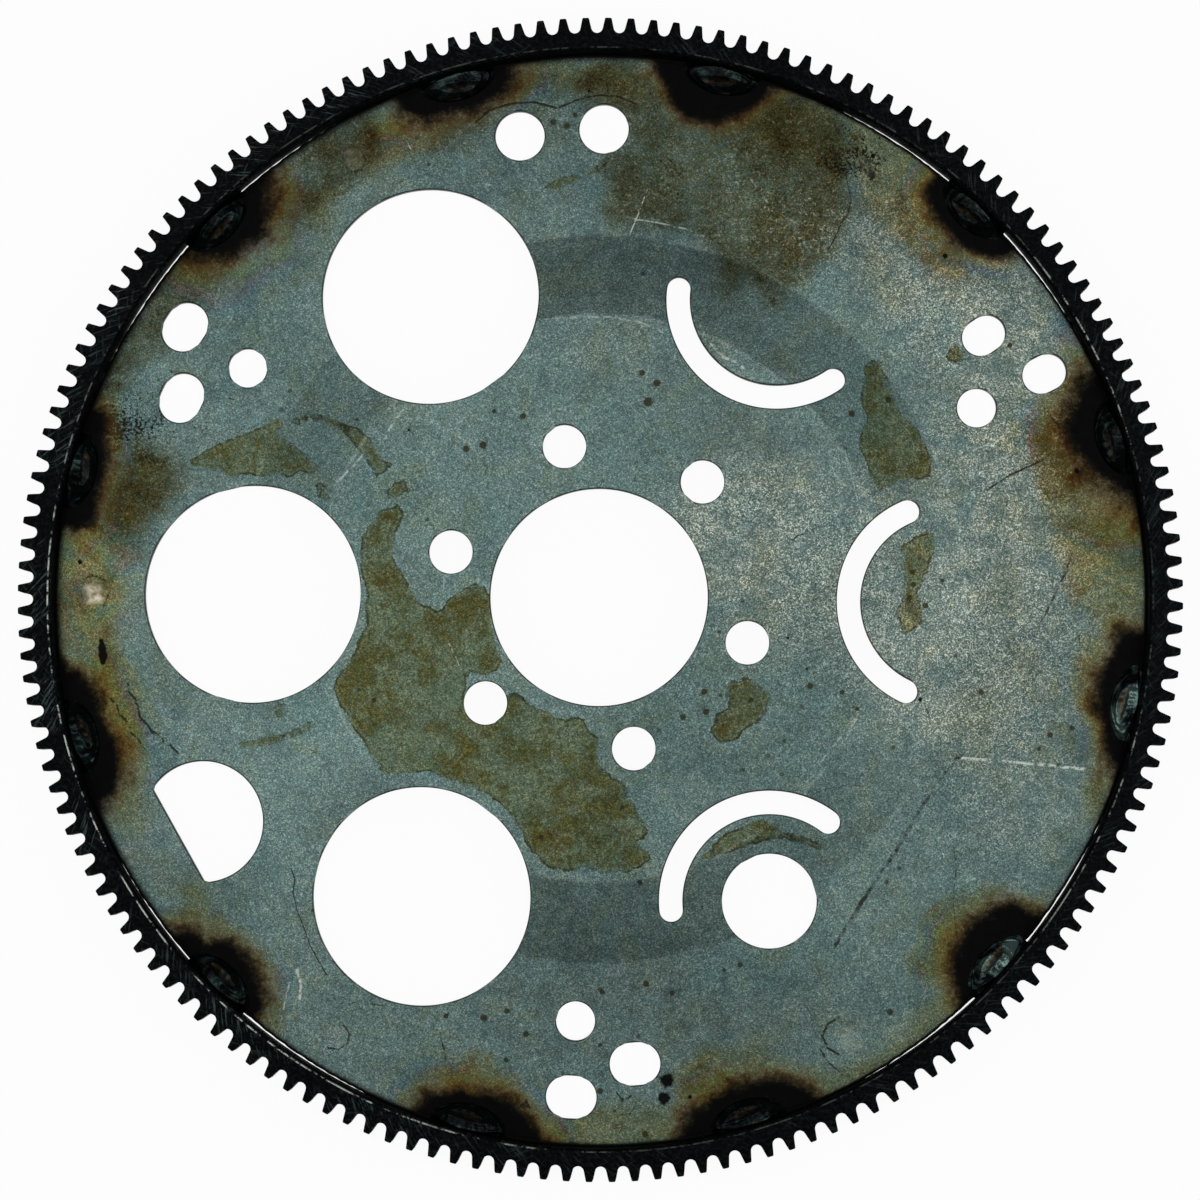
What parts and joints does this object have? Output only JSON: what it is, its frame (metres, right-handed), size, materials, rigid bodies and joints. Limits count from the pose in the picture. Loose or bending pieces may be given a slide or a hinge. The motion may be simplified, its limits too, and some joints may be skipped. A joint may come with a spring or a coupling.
{
  "type": "flexplate",
  "caption": "Dished sheet-steel drive plate with lightening windows, slotted bolt holes and a welded starter ring gear, joining a crankshaft flange to a torque converter.",
  "frame": {"origin": "on the axis of rotation, in the plane of the back faces of ring and rim, on which the part lies", "axes": "+Z along the axis towards the engine side, +X along the line on which the arc slots and the windows lie symmetrically, away from the middle window"},
  "size_m": [0.34, 0.34, 0.0111],
  "materials": {
    "disc_steel": "dull blue-grey rolled sheet with brown stains and heat tint at the welds",
    "ring_steel": "near-black oxide from heat treatment, with fine scratches",
    "weld_steel": "glossy dark scale on a rippled bead"
  },
  "bodies": {
    "root": {"disc": "disc_steel", "ring_gear": "ring_steel", "weld_bead_01": "weld_steel", "weld_bead_02": "weld_steel", "weld_bead_03": "weld_steel", "weld_bead_04": "weld_steel", "weld_bead_05": "weld_steel", "weld_bead_06": "weld_steel", "weld_bead_07": "weld_steel", "weld_bead_08": "weld_steel", "weld_bead_09": "weld_steel", "weld_bead_10": "weld_steel", "weld_bead_11": "weld_steel", "weld_bead_12": "weld_steel"}
  },
  "joints": []
}
